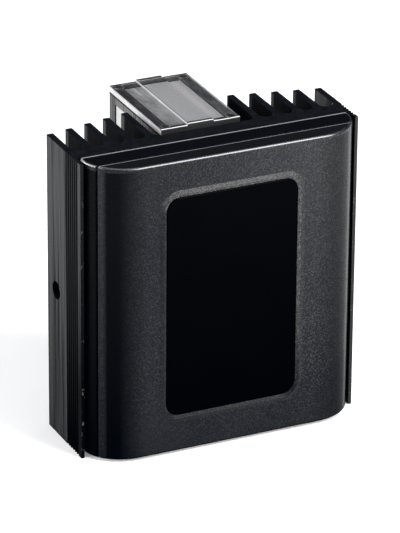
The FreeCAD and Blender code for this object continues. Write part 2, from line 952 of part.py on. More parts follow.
def clear_lid():
    plate = box(-lid_half, lid_half, lid_front, lid_back, lid_bottom, lid_top)
    rim = [e for e in plate.Edges if e.BoundBox.ZMin > lid_top - near]
    plate = plate.makeFillet(lid_edge, rim)
    band_half = lid_band_width / 2
    band = box(
        -band_half, band_half, lid_front, lid_back, lid_top - lid_edge, lid_top + lid_band_height
    )
    top = [e for e in band.Edges if e.BoundBox.ZMin > lid_top + lid_band_height - near]
    band = band.makeFillet(lid_edge, top)
    hole = lid_screw_diameter / 2 + screw_clearance
    head = lid_head_diameter / 2 + screw_clearance
    cuts = []
    for x, y in lid_screw_points():
        cuts.append(rod_z(hole, lid_bottom - dip, lid_top + dip, x, y))
        cuts.append(rod_z(head, lid_seat, lid_top + dip, x, y))
    return plate.fuse(band).cut(cuts)


def lid_screws():
    screw = pan_screw(lid_screw_diameter, lid_screw_length, lid_head_diameter, lid_head_height)
    return [placed(screw, 0, x, y, lid_seat) for x, y in lid_screw_points()]


def inner_panel():
    reach = case_inner_half + panel_step - board_slot_play
    front = case_inner_front - panel_step + board_slot_play
    back = case_inner_back + panel_step - board_slot_play
    return box(-reach, reach, front, back, panel_ledge, panel_ledge + panel_thickness)


def driver_board():
    half = case_inner_half + board_slot_depth - board_slot_play
    return box(-half, half, driver_front, driver_back, case_inner_floor, driver_top)


def terminal_block():
    half = terminal_width / 2
    r = terminal_hole_radius
    z0 = case_inner_floor + terminal_level
    y1 = driver_back + terminal_depth
    middle_depth = driver_back + terminal_depth / 2
    block = box(-half, half, driver_back, y1, z0, z0 + terminal_height)
    cuts = []
    for k in range(terminal_ways):
        x = (k + 0.5) * terminal_width / terminal_ways - half
        cuts.append(rod_y(r, y1 - dip, y1 + dip, x, z0 + terminal_screw_rise))
        cuts.append(rod_z(r, z0 - dip, z0 + terminal_hole_depth, x, middle_depth))
    return block.cut(cuts)


def inductor():
    z = case_inner_floor + inductor_level
    ring = rod_y(inductor_outer_radius, driver_back, driver_back + inductor_height, 0, z)
    return ring.cut(
        rod_y(inductor_inner_radius, driver_back - dip, driver_back + inductor_height + dip, 0, z)
    )


def capacitors():
    z = case_inner_floor + capacitor_level
    return [
        rod_y(capacitor_radius, driver_back, driver_back + capacitor_length, side, z)
        for side in (-capacitor_spread / 2, capacitor_spread / 2)
    ]


def power_transistor():
    half = transistor_width / 2
    z0 = case_inner_floor + transistor_level
    return box(-half, half, driver_back, driver_back + transistor_depth, z0,
               z0 + transistor_height)


def driver_chips():
    half = chip_size / 2
    z0 = driver_top - chip_below_board_top
    return [
        box(x - half, x + half, driver_back, driver_back + chip_depth, z0, z0 + chip_size)
        for x in (-chip_spread / 2, chip_spread / 2)
    ]


def driver_connector():
    return small_connector(driver_front - connector_depth, driver_front)


def board_connector():
    return small_connector(board_front - connector_depth, board_front)


def led_leads():
    y1 = driver_front - connector_depth
    return [
        rod_y(lead_diameter / 2, board_front, y1, side * lead_spacing / 2, lead_level)
        for side in (-1, 1)
    ]


def lead_grommet():
    sleeve = rod_y(lead_hole_diameter / 2 - thread_clearance, 0, case_inner_front, 0, lead_level)
    return sleeve.cut(rod_y(grommet_bore / 2, -dip, case_inner_front + dip, 0, lead_level))


def cable_gland_body():
    thread = gland_thread_diameter / 2
    hexagon = hexagon_z(
        gland_hex_width, case_floor_level - gland_hex_height, case_floor_level, 0, gland_y
    )
    bottom = case_floor_level - gland_hex_height - gland_thread_below
    top = case_inner_floor + gland_thread_above - case_floor
    stem = rod_z(thread, bottom, top, 0, gland_y)
    bore = rod_z(gland_bore / 2, bottom - dip, top + dip, 0, gland_y)
    seat = rod_z(
        gland_insert_diameter / 2, bottom - dip, case_floor_level - gland_hex_height, 0, gland_y
    )
    return hexagon.fuse(stem).cut([bore, seat])


def gland_seal():
    bottom = case_floor_level - gland_hex_height - gland_thread_below
    top = case_floor_level - gland_hex_height
    ring = rod_z(gland_insert_diameter / 2 - thread_clearance, bottom, top, 0, gland_y)
    return ring.cut(rod_z(gland_bore / 2, bottom - dip, top + dip, 0, gland_y))


def gland_nut():
    top = case_floor_level - gland_hex_height
    bottom = top - gland_nut_height
    radius = gland_nut_diameter / 2
    sleeve = rod_z(radius, bottom + gland_nut_taper, top, 0, gland_y)
    cap = Part.makeCone(
        radius - gland_nut_taper, radius, gland_nut_taper, Vector(0, gland_y, bottom)
    )
    thread = rod_z(
        gland_thread_diameter / 2 + thread_clearance, top - gland_thread_below, top + dip,
        0, gland_y,
    )
    bore = rod_z(gland_bore / 2 + hole_extra, bottom - dip, top, 0, gland_y)
    return sleeve.fuse(cap).cut([thread, bore])


def gland_locknut():
    z0 = case_inner_floor
    nut = hexagon_z(gland_locknut_width, z0, z0 + gland_locknut_height, 0, gland_y)
    radius = gland_thread_diameter / 2 + thread_clearance
    return nut.cut(rod_z(radius, z0 - dip, z0 + gland_locknut_height + dip, 0, gland_y))


def save(name, made):
    """Moves a piece, or a group of separate solids, to its place and writes its file."""
    solids = made if isinstance(made, list) else [made]
    shape = solids[0] if len(solids) == 1 else Part.makeCompound(solids)
    shape.translate(Vector(0, -middle_y, 0))
    shape.exportStep(os.path.join("parts", name + ".step"))


pieces = {
    "heat_sink": heat_sink,
    "frame_gasket": frame_gasket,
    "front_frame": front_frame,
    "cover_gasket": cover_gasket,
    "front_cover": front_cover,
    "window_pane": window_pane,
    "window_seal": window_seal,
    "window_retainer": window_retainer,
    "retainer_screws": retainer_screws,
    "thermal_pad": thermal_pad,
    "led_board": led_board,
    "leds": leds,
    "lens_array": lens_array,
    "board_screws": board_screws,
    "board_connector": board_connector,
    "light_sensor": light_sensor,
    "cover_screws": cover_screws,
    "driver_case": driver_case,
    "case_seal": case_seal,
    "case_screws": case_screws,
    "side_label": side_label,
    "lid_gasket": lid_gasket,
    "clear_lid": clear_lid,
    "lid_screws": lid_screws,
    "inner_panel": inner_panel,
    "driver_board": driver_board,
    "driver_connector": driver_connector,
    "terminal_block": terminal_block,
    "inductor": inductor,
    "capacitors": capacitors,
    "power_transistor": power_transistor,
    "driver_chips": driver_chips,
    "led_leads": led_leads,
    "lead_grommet": lead_grommet,
    "cable_gland_body": cable_gland_body,
    "gland_seal": gland_seal,
    "gland_nut": gland_nut,
    "gland_locknut": gland_locknut,
}

os.makedirs("parts", exist_ok=True)
for name, make in pieces.items():
    save(name, make())
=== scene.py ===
import math

import bpy
from mathutils import Matrix, Vector


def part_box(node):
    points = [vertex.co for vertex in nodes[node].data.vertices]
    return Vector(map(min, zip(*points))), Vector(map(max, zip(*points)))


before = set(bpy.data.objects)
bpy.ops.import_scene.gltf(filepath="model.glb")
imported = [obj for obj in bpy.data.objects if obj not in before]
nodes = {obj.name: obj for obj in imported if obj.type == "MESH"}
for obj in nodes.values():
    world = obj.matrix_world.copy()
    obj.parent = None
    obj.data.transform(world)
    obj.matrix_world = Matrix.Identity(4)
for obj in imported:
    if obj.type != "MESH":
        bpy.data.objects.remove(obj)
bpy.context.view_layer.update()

# Camera of the photograph, fitted to the object's edges, in millimetres and radians
PHOTO_HEIGHT = 533
FOCAL_PIXELS = 4056.9
YAW = 0.4385
PITCH = 0.4293
ROLL = 0.008
CAMERA_RIGHT_OFFSET = 9.836
CAMERA_UP_OFFSET = -70.924
CAMERA_DISTANCE = 1700.0
FIT_ORIGIN_Y = -35.09
SENSOR = 36.0
MM = 0.001

# Studio, in metres, with a faint bluish light from all sides
FLOOR_SIDE = 6.0
MIDDLE_HEIGHT = 0.065
WORLD_COLOUR = (0.024, 0.026, 0.042, 1)

# Grain sizes along the three axes, in metres
FINE = (0.0004, 0.0004, 0.0004)
COARSE = (0.0012, 0.0012, 0.0012)
TURNED = (0.003, 0.003, 0.00015)

# Places in metres where finishes, painted shade and painted highlights change softly, from and to,
# sideways (x)
LEFT_TO_RIGHT = (-0.01, 0.01)
LEFT_WALL_OUTSIDE = (-0.0620, -0.0618)
RIGHT_WALL_INSIDE = (0.0590, 0.0593)
RIBS_OUTSIDE = (0.0615, 0.0618)
ROUNDING_INNER = (0.038, 0.050)
ROUNDING_OUTER = (0.0542, 0.0556)
LEFT_BAND = (-0.0556, -0.0542)
LEFT_CORNER = (-0.0585, -0.0550)
BEAD_OUTSIDE = (0.047, 0.049)
WINDOW_RIGHT = (0.020, 0.022)

# The same from the front to the back (y)
COVER_BACK = (-0.0350, -0.0348)
FRAME_FRONT = (-0.0341, -0.0340)
LIP_FRONT = (-0.0297, -0.0296)
RIBS_FRONT = (-0.0272, -0.0269)
RIBS_BACK = (-0.0161, -0.0157)
BASE_BACK = (-0.0150, -0.0148)

# The same up the object (z)
WALL_HEIGHT = (0.0, 0.1)
LOWER_WALL = (0.03, 0.11)
SHINE_HEIGHT = (0.01, 0.12)
UPPER_SHINE_HEIGHT = (0.02, 0.12)
LOWER_EDGE = (0.004, 0.006)
UNDER_WINDOW = (0.0, 0.035)
LOWER_WINDOW = (0.03, 0.06)
WINDOW_TOP = (0.095, 0.097)
BEAD_TOP_FROM = (0.095, 0.105)
BEAD_TOP_TO = (0.1255, 0.1265)
ROUNDED_EDGE = (0.1298, 0.1304)
SHADE_TOP = (0.1300, 0.1304)
REAR_EDGE = (0.1321, 0.1323)

# The line through the rear ends of the fins, and how far before it their sides are painted in
# shade
FIN_END_SLOPE = -0.217
FIN_END_AT_MIDDLE = 0.01849
FIN_END_BAND = (0.0022, 0.0042)

# Middle of the rounding along the frame's rear edges, and the band where a highlight is painted
FRAME_EDGE_X = 0.0586
FRAME_EDGE_Y = -0.02559
HIGHLIGHT_RADIUS = (0.0007, 0.0009)

# Driver box: the notch in its rim behind the box's front, and the margin round the label
NOTCH_BEHIND_FRONT = 0.03099
NOTCH_HALF = (0.0003, 0.0005)
LABEL_MARGIN = 0.0004
LABEL_MARGIN_END = 0.0006

# Lid: the band below its top where its frosted edge is darker
BAND_FROM = (0.0007, 0.0008)
BAND_TO = (0.0011, 0.0014)


class Graph:
    """Short calls for the nodes of one material around its Principled shader."""

    def __init__(self, name):
        self.material = bpy.data.materials.new(name)
        self.material.use_nodes = True
        self.tree = self.material.node_tree
        self.shader = self.tree.nodes["Principled BSDF"]
        self.place = self.node("ShaderNodeTexCoord").outputs["Object"]

    def node(self, kind, **settings):
        made = self.tree.nodes.new(kind)
        for key, value in settings.items():
            setattr(made, key, value)
        return made

    def feed(self, socket, value):
        if isinstance(value, bpy.types.NodeSocket):
            self.tree.links.new(value, socket)
        elif isinstance(value, tuple) and len(value) == 3 and socket.type == "RGBA":
            socket.default_value = (*value, 1)
        else:
            socket.default_value = value

    def set(self, **values):
        """Sets the shader's sockets, named in lower case with underscores."""
        names = {s.name.lower().replace(" ", "_"): s for s in self.shader.inputs}
        for key, value in values.items():
            self.feed(names[key], value)

    def stretched(self, size):
        """Places divided by a size in metres along each axis."""
        mapping = self.node("ShaderNodeMapping")
        self.feed(mapping.inputs["Vector"], self.place)
        mapping.inputs["Scale"].default_value = [1 / s for s in size]
        return mapping.outputs["Vector"]

    def noise(self, size, detail=2.0, roughness=0.5):
        made = self.node("ShaderNodeTexNoise")
        self.feed(made.inputs["Vector"], self.stretched(size))
        made.inputs["Scale"].default_value = 1
        made.inputs["Detail"].default_value = detail
        made.inputs["Roughness"].default_value = roughness
        return made.outputs["Fac"]

    def cells(self, size):
        """A random number from 0 to 1 for each cell of the given size."""
        made = self.node("ShaderNodeTexVoronoi")
        self.feed(made.inputs["Vector"], self.stretched((size, size, size)))
        made.inputs["Scale"].default_value = 1
        split = self.node("ShaderNodeSeparateColor")
        self.feed(split.inputs["Color"], made.outputs["Color"])
        return split.outputs["Red"]

    def math(self, operation, *values):
        made = self.node("ShaderNodeMath", operation=operation)
        for socket, value in zip(made.inputs, values):
            self.feed(socket, value)
        return made.outputs["Value"]

    def absolute(self, value):
        return self.math("ABSOLUTE", value)

    def both(self, a, b):
        """The product of two numbers, which is 1 where both masks are 1."""
        return self.math("MULTIPLY", a, b)

    def either(self, a, b):
        """The larger of two numbers, which is 1 where one of the masks is 1."""
        return self.math("MAXIMUM", a, b)

    def spread(self, value, low, high, new_low=0.0, new_high=1.0):
        """Maps low..high of a value to new_low..new_high, held at both ends."""
        made = self.node("ShaderNodeMapRange")
        self.feed(made.inputs["Value"], value)
        self.feed(made.inputs["From Min"], low)
        self.feed(made.inputs["From Max"], high)
        self.feed(made.inputs["To Min"], new_low)
        self.feed(made.inputs["To Max"], new_high)
        return made.outputs["Result"]

    def rise(self, value, low, high):
        """0 below low and 1 above high."""
        return self.spread(value, low, high)

    def fall(self, value, low, high):
        """1 below low and 0 above high."""
        return self.spread(value, low, high, 1.0, 0.0)

    def mix(self, share, a, b):
        made = self.node("ShaderNodeMix", data_type="RGBA")
        self.feed(made.inputs["Factor"], share)
        self.feed(made.inputs["A"], a)
        self.feed(made.inputs["B"], b)
        return made.outputs["Result"]

    def blend(self, share, a, b):
        """A number that goes from a to b with a share from 0 to 1."""
        made = self.node("ShaderNodeMix", data_type="FLOAT")
        self.feed(made.inputs["Factor"], share)
        self.feed(made.inputs["A"], a)
        self.feed(made.inputs["B"], b)
        return made.outputs["Result"]

    def along(self, vector, axis):
        """The part of a vector along an axis."""
        split = self.node("ShaderNodeSeparateXYZ")
        self.feed(split.inputs["Vector"], vector)
        return split.outputs[axis]

    def at(self, axis):
        """How far a point lies along an axis, in metres."""
        return self.along(self.place, axis)

    def towards(self, axis):
        """How much a face looks along one of the object's axes, from -1 to 1."""
        turned = self.node(
            "ShaderNodeVectorTransform", vector_type="NORMAL", convert_from="WORLD",
            convert_to="OBJECT",
        )
        self.feed(turned.inputs["Vector"], self.node("ShaderNodeNewGeometry").outputs["Normal"])
        return self.along(turned.outputs["Vector"], axis)

    def bump(self, height, distance):
        made = self.node("ShaderNodeBump")
        made.inputs["Distance"].default_value = distance
        self.feed(made.inputs["Height"], height)
        return made.outputs["Normal"]


def grey(value, blue=1.0):
    """A grey with more or less blue in it, and a third as much more or less green."""
    return (value, value * (1 + (blue - 1) / 3), value * blue)


def mottled(g, fine, broad):
    """A tone from 0 to 1 out of a fine and a broad noise."""
    tone = g.math("ADD", g.math("MULTIPLY", fine, 0.6), g.math("MULTIPLY", broad, 0.4))
    return g.rise(tone, 0.35, 0.65)


def drawn(g):
    """A tone from 0 to 1 in lines that run up the metal, and the fine lines alone."""
    lines = g.noise((0.0013, 0.0013, 0.09), 3.0, 0.7)
    broad = g.noise((0.004, 0.004, 0.12), 2.0)
    return mottled(g, lines, broad), lines


def between_fins(g):
    """1 on the fins' sides, where shade is painted, 0 on the outer walls and on the last bit of
    each fin.
    """
    x = g.at("X")
    y = g.at("Y")
    up = g.towards("Z")
    fin_end = g.math("MULTIPLY_ADD", g.absolute(x), FIN_END_SLOPE, FIN_END_AT_MIDDLE)
    deep = g.rise(g.math("SUBTRACT", fin_end, y), *FIN_END_BAND)
    inside = g.both(g.rise(x, *LEFT_WALL_OUTSIDE), g.fall(x, *RIGHT_WALL_INSIDE))
    upright = g.fall(g.absolute(up), 0.5, 0.6)
    behind = g.both(upright, g.rise(y, *BASE_BACK))
    return g.both(deep, g.both(inside, behind))


def ribbed_strip(g):
    """1 on the ribbed strip of each outer wall, where shade is painted."""
    x = g.at("X")
    y = g.at("Y")
    strip = g.both(g.rise(y, *RIBS_FRONT), g.fall(y, *RIBS_BACK))
    return g.both(g.rise(g.absolute(x), *RIBS_OUTSIDE), strip)


def chipped(g):
    """1 on small spots that lie in patches, where the coat is chipped off."""
    patches = g.rise(g.noise((0.01, 0.01, 0.01), 1.0), 0.50, 0.55)
    return g.both(g.rise(g.cells(0.0006), 0.89, 0.93), patches)


def extrusion(name):
    """Black anodised extrusion with painted shade between the fins, on its ribs and on its lips,
    and a duller top.
    """
    g = Graph(name)
    tone, lines = drawn(g)
    x = g.at("X")
    y = g.at("Y")
    z = g.at("Z")
    to_y = g.towards("Y")
    up = g.towards("Z")
    left = g.fall(x, *LEFT_TO_RIGHT)
    low = g.fall(z, *LOWER_WALL)
    forward = g.fall(to_y, -0.8, -0.6)
    cut_end = g.rise(up, 0.9, 0.95)
    shaded_fin_sides = between_fins(g)
    shaded_ribs = ribbed_strip(g)
    low_lip = g.both(g.fall(y, *RIBS_FRONT), low)
    lip_end = g.both(forward, g.fall(y, *LIP_FRONT))

    # Painted shade in the shine: most of it shines less towards its lower end, and the fins'
    # sides, the ribs and the lower lips less still
    gloss = g.both(g.spread(tone, 0.15, 0.85, 0.008, 0.125), g.spread(z, *WALL_HEIGHT, 0.5, 1.0))
    left_gloss = g.spread(z, *UPPER_SHINE_HEIGHT, 0.001, 0.05)
    gloss = g.blend(forward, gloss, g.blend(left, 0.08, left_gloss))
    gloss = g.blend(shaded_ribs, gloss, g.spread(z, *SHINE_HEIGHT, 0.001, 0.023))
    gloss = g.blend(low_lip, gloss, 0.004)
    gloss = g.blend(cut_end, gloss, 0.02)
    gloss = g.blend(shaded_fin_sides, gloss, 0.003)

    base = g.mix(tone, grey(0.002, 2.0), grey(0.007, 1.4))
    # Painted shade on the fins' sides
    base = g.mix(shaded_fin_sides, base, grey(0.0012, 2.5))
    # Painted shade on the left, darkest towards the bottom: the ribs, the faces looking forward
    # and the lower lips
    dark = g.both(g.either(g.either(shaded_ribs, forward), low_lip), low)
    base = g.mix(g.both(dark, left), base, grey(0.0005, 3.0))
    # Painted light: the right lip's front end is lighter than the left one
    base = g.mix(g.both(lip_end, g.math("SUBTRACT", 1.0, left)), base, grey(0.022))
    base = g.mix(g.both(lip_end, chipped(g)), base, grey(0.06))
    g.set(
        base_color=base,
        roughness=g.blend(cut_end, g.spread(tone, 0.0, 1.0, 0.24, 0.40), 0.5),
        specular_ior_level=gloss,
        normal=g.bump(lines, 0.00002),
    )
    return g.material


def case_coat(name):
    """Anodised metal of the box, with a light rim under the lid and a streaked rear post."""
    g = Graph(name)
    tone, lines = drawn(g)
    y = g.at("Y")
    z = g.at("Z")
    to_x = g.towards("X")
    case_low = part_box("driver_case")[0]
    label_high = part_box("side_label")[1]
    behind = g.rise(y, label_high.y + LABEL_MARGIN, label_high.y + LABEL_MARGIN_END)
    post = g.both(behind, g.rise(g.absolute(to_x), 0.5, 0.7))
    streaks = g.rise(g.noise((0.01, 0.0011, 0.6), 2.0, 0.6), 0.42, 0.58)
    streaked = g.both(post, streaks)
    above = g.rise(z, label_high.z + LABEL_MARGIN, label_high.z + LABEL_MARGIN_END)
    rim = g.both(g.math("SUBTRACT", 1.0, post), above)
    from_notch = g.absolute(g.math("SUBTRACT", y, case_low.y + NOTCH_BEHIND_FRONT))
    rim = g.both(rim, g.rise(from_notch, *NOTCH_HALF))
    base = g.mix(tone, grey(0.005, 1.1), grey(0.012, 1.05))
    base = g.mix(streaked, base, grey(0.030))
    g.set(
        base_color=g.mix(rim, base, g.mix(tone, grey(0.055), grey(0.09))),
        roughness=g.spread(tone, 0.0, 1.0, 0.20, 0.36),
        specular_ior_level=g.blend(streaked, 0.10, 0.22),
        normal=g.bump(lines, 0.00002),
    )
    return g.material


def highlight_streak(g, middle_x, middle_y, half_x, half_y):
    """1 in a soft streak along y around a place on the panel, 0 outside it, where a highlight is
    painted.
    """
    x = g.at("X")
    y = g.at("Y")
    across = g.absolute(g.math("SUBTRACT", x, middle_x))
    along = g.absolute(g.math("SUBTRACT", y, middle_y))
    return g.both(
        g.fall(across, 0.3 * half_x, half_x),
        g.fall(along, 0.7 * half_y, half_y),
    )


def panel_coat(name):
    """Light grey lacquer with painted highlight streaks and a blotchy painted shadow over its left
    side.
    """
    g = Graph(name)
    x = g.at("X")
    grain = g.noise(FINE, 3.0, 0.6)
    blotches = g.noise((0.004, 0.006, 0.004), 3.0, 0.6)
    # A lit and a shadowed copy of the lacquer; the shadow is painted over the left side and the
    # streaks are painted highlights
    lit = g.mix(grain, grey(0.54), grey(0.60))
    shadowed = g.mix(g.rise(blotches, 0.35, 0.65), grey(0.26), grey(0.46))
    tone = g.mix(g.rise(x, -0.0075, -0.0035), shadowed, lit)
    tone = g.mix(highlight_streak(g, 0.0087, 0.019, 0.0030, 0.026), tone, (0.74, 0.72, 0.71))
    tone = g.mix(highlight_streak(g, 0.0139, 0.0322, 0.0010, 0.0055), tone, grey(0.95))
    tone = g.mix(highlight_streak(g, -0.0090, 0.0337, 0.0009, 0.0055), tone, grey(0.66))
    g.set(base_color=tone, roughness=0.5, normal=g.bump(grain, 0.00001))
    return g.material


def rear_edges(g):
    """1 along the rear top edges of the frame and the cover, where a highlight is painted."""
    x = g.at("X")
    y = g.at("Y")
    z = g.at("Z")
    past_x = g.either(g.math("SUBTRACT", g.absolute(x), FRAME_EDGE_X), 0.0)
    past_y = g.either(g.math("SUBTRACT", y, FRAME_EDGE_Y), 0.0)
    square = g.math("ADD", g.both(past_x, past_x), g.both(past_y, past_y))
    frame_edge = g.rise(g.math("SQRT", square), *HIGHLIGHT_RADIUS)
    cover_edge = g.both(g.rise(y, *COVER_BACK), g.fall(y, *FRAME_FRONT))
    return g.both(g.either(frame_edge, cover_edge), g.rise(z, *REAR_EDGE))


def side_shade(g):
    """1 on the frame's sides and on the cover's left rounding, less on its right one, where shade
    is painted.
    """
    x = g.at("X")
    y = g.at("Y")
    z = g.at("Z")
    side = g.absolute(x)
    rounding = g.both(g.rise(side, *ROUNDING_INNER), g.fall(side, *ROUNDING_OUTER))
    rounding = g.both(rounding, g.spread(x, *LEFT_TO_RIGHT, 1.0, 0.65))
    return g.both(g.either(rounding, g.rise(y, *FRAME_FRONT)), g.fall(z, *SHADE_TOP))


def highlight_edge(g):
    """1 on the rounded top edge of the frame's sides and of the cover's front and sides, where the
    shine is raised for highlights.
    """
    z = g.at("Z")
    up = g.towards("Z")
    tilted = g.both(g.rise(up, 0.35, 0.5), g.fall(up, 0.96, 0.985))
    return g.both(tilted, g.rise(z, *ROUNDED_EDGE))


def inner_ledge(g):
    """1 on the bead's inner slope over the window and on the window's right, which are painted
    lighter as a reflection.
    """
    x = g.at("X")
    z = g.at("Z")
    to_x = g.towards("X")
    up = g.towards("Z")
    over = g.both(g.fall(up, -0.15, -0.05), g.rise(z, *WINDOW_TOP))
    right = g.both(g.fall(to_x, -0.2, -0.1), g.rise(x, *WINDOW_RIGHT))
    right = g.both(right, g.rise(z, *LOWER_WINDOW))
    return g.both(g.either(over, right), g.fall(g.absolute(x), *BEAD_OUTSIDE))


def bead_top(g):
    """1 on the bead's outer slope over the window, which faces a little up, where a highlight is
    painted.
    """
    z = g.at("Z")
    up = g.towards("Z")
    tilted = g.both(g.rise(up, 0.0, 0.30), g.fall(up, 0.75, 0.85))
    height = g.both(g.rise(z, *BEAD_TOP_FROM), g.fall(z, *BEAD_TOP_TO))
    return g.both(tilted, height)


def grained(name):
    """Dark coating with a fine grain and flakes, with painted shade on its sides, roundings, lower
    edge and tops and painted highlights along its top edges and on the bead.
    """
    g = Graph(name)
    x = g.at("X")
    y = g.at("Y")
    z = g.at("Z")
    up = g.towards("Z")
    clouds = g.noise((0.012, 0.012, 0.012), 4.0, 0.6)
    grain = g.noise((0.0006, 0.0006, 0.0006), 3.0, 0.65)
    flakes = g.cells(0.0004)
    shaded_sides = side_shade(g)
    bead_highlight = bead_top(g)
    edge_highlights = highlight_edge(g)
    level_top = g.rise(up, 0.985, 0.995)
    shaded_lower_edge = g.both(g.fall(up, -0.3, -0.1), g.fall(z, *LOWER_EDGE))

    # Painted light: the flakes are stronger on the right and fade out below the window
    flake_light = g.both(g.spread(x, -0.045, 0.030, 0.30, 0.62), g.spread(z, *UNDER_WINDOW, 0.35, 1.0))
    base = g.mix(g.rise(clouds, 0.35, 0.7), grey(0.003, 2.2), grey(0.005, 1.7))
    base = g.mix(g.both(g.rise(flakes, 0.55, 1.0), flake_light), base, grey(0.050))
    # Painted shade on the lower edge
    base = g.mix(shaded_lower_edge, base, grey(0.0005, 3.0))
    # Painted highlight on the bead's outer slope over the window
    base = g.mix(bead_highlight, base, g.mix(flakes, grey(0.006), grey(0.055)))
    # Painted reflection on the bead's inner slope and on the window's right
    base = g.mix(inner_ledge(g), base, g.mix(g.rise(flakes, 0.4, 0.9), grey(0.02), grey(0.09)))
    # Painted shade on the frame's sides and the cover's roundings
    base = g.mix(shaded_sides, base, grey(0.0005, 3.4))
    # Painted shade on the level tops, the frame's darker than the cover's
    top_shade = g.mix(g.rise(y, *FRAME_FRONT), grey(0.0042, 1.5), grey(0.0017, 2.0))
    base = g.mix(level_top, base, top_shade)
    # Painted highlight on the rounded top edge at the left corner
    corner_highlight = g.both(g.fall(x, *LEFT_CORNER), g.fall(up, 0.75, 0.85))
    base = g.mix(g.both(corner_highlight, edge_highlights), base, grey(0.26))
    # Painted highlight along the rear top edges
    rear_edge_highlight = g.both(rear_edges(g), g.spread(grain, 0.3, 0.55, 0.6, 1.0))
    base = g.mix(rear_edge_highlight, base, grey(0.21))

    # Painted reflection: the front shines more towards its top and right, the left band and
    # roundings less
    to_right = g.both(g.rise(x, -0.030, 0.040), g.rise(z, *UPPER_SHINE_HEIGHT))
    gloss = g.spread(z, *SHINE_HEIGHT, 0.065, 0.095)
    gloss = g.math("ADD", gloss, g.math("MULTIPLY", to_right, 0.14))
    band_gloss = g.spread(z, *UPPER_SHINE_HEIGHT, 0.015, 0.16)
    gloss = g.blend(g.fall(x, *LEFT_BAND), gloss, band_gloss)
    gloss = g.blend(shaded_sides, gloss, g.spread(z, *SHINE_HEIGHT, 0.001, 0.038))
    gloss = g.blend(bead_highlight, gloss, 0.22)
    gloss = g.blend(shaded_lower_edge, gloss, 0.001)
    gloss = g.blend(level_top, gloss, 0.03)

    roughness = g.blend(level_top, g.spread(grain, 0.3, 0.7, 0.2, 0.36), 0.5)
    relief = g.blend(edge_highlights, grain, g.spread(edge_highlights, 0.0, 1.0, 0.5, 0.42))
    g.set(
        base_color=base,
        roughness=g.blend(edge_highlights, roughness, 0.24),
        specular_ior_level=g.blend(edge_highlights, gloss, 1.0),
        normal=g.bump(relief, 0.00012),
    )
    return g.material


def window_black(name):
    """Polished black pane with faint smears, with painted shade in its shine towards its lower
    end.
    """
    g = Graph(name)
    z = g.at("Z")
    smear = g.noise((0.03, 0.03, 0.03), 3.0)
    g.set(
        base_color=g.mix(smear, grey(0.0001, 5.0), grey(0.0004, 3.0)),
        roughness=g.spread(smear, 0.3, 0.7, 0.12, 0.2),
        specular_ior_level=g.spread(z, *UPPER_SHINE_HEIGHT, 0.0005, 0.011),
    )
    return g.material


def clear(name, roughness):
    """Clear plastic with fine scuffs that run across it."""
    g = Graph(name)
    scuffs = g.noise((0.0006, 0.01, 0.01), 3.0, 0.7)
    g.set(
        base_color=grey(0.93, 1.01),
        transmission_weight=1.0,
        ior=1.5,
        roughness=g.spread(scuffs, 0.45, 0.75, roughness, roughness + 0.12),
        normal=g.bump(scuffs, 0.000005),
    )
    return g.material


def seal(name):
    """Dark mottled rubber of the lid's seal, painted lighter on the right as lit, with black
    sides.
    """
    g = Graph(name)
    blotches = g.noise((0.003, 0.007, 0.003), 4.0, 0.65)
    x = g.at("X")
    up = g.towards("Z")
    upper = g.rise(up, 0.6, 0.8)
    mottle = g.rise(blotches, 0.35, 0.65)
    # Painted light: the right side is lighter and cooler, as lit, the left darker, as shade
    shaded_warm = g.mix(mottle, (0.018, 0.015, 0.014), (0.085, 0.078, 0.074))
    lit_cool = g.mix(mottle, (0.035, 0.037, 0.034), (0.15, 0.155, 0.145))
    g.set(
        base_color=g.mix(upper, grey(0.008), g.mix(g.rise(x, -0.004, 0.012), shaded_warm, lit_cool)),
        roughness=0.7,
        specular_ior_level=g.spread(upper, 0.0, 1.0, 0.1, 0.4),
        normal=g.bump(blotches, 0.00003),
    )
    return g.material


def clear_with_sawn_edges(name):
    """Clear sheet with frosted sawn edges, a front edge painted dark as shade and a painted
    highlight on its top corner.
    """
    g = Graph(name)
    scuffs = g.noise((0.0006, 0.01, 0.01), 3.0, 0.7)
    z = g.at("Z")
    to_x = g.towards("X")
    to_y = g.towards("Y")
    up = g.towards("Z")
    sawn = g.rise(g.either(g.absolute(to_x), to_y), 0.6, 0.85)
    front = g.fall(to_y, -0.95, -0.85)
    corner_highlight = g.both(g.fall(to_y, -0.35, -0.25), g.rise(up, 0.25, 0.35))
    below_top = g.math("SUBTRACT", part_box("clear_lid")[1].z, z)
    band = g.both(g.rise(below_top, *BAND_FROM), g.fall(below_top, *BAND_TO))
    frosted = g.mix(band, grey(0.47), grey(0.14))
    frosting = g.both(sawn, g.rise(scuffs, 0.2, 0.5))
    tone = g.mix(frosting, grey(0.95, 1.01), frosted)
    # Painted shade on the front edge and a painted highlight on its top corner
    tone = g.mix(corner_highlight, g.mix(front, tone, grey(0.02)), grey(0.7))
    solid = g.either(g.either(sawn, front), corner_highlight)
    g.set(
        base_color=tone,
        transmission_weight=g.spread(solid, 0.0, 1.0, 1.0, 0.1),
        ior=1.5,
        roughness=g.spread(solid, 0.0, 1.0, 0.02, 0.45),
    )
    return g.material


def plain(name, dark, light, roughness, size, bump, metallic=0.0):
    """A finish with a mottled tone, a grain of the given size and a fine relief."""
    g = Graph(name)
    grain = g.noise(size, 4.0, 0.6)
    broad = g.noise([s * 12 for s in size], 2.0)
    g.set(
        base_color=g.mix(mottled(g, grain, broad), dark, light),
        metallic=metallic,
        roughness=g.spread(grain, 0.3, 0.7, roughness - 0.07, roughness + 0.07),
        normal=g.bump(grain, bump),
    )
    return g.material


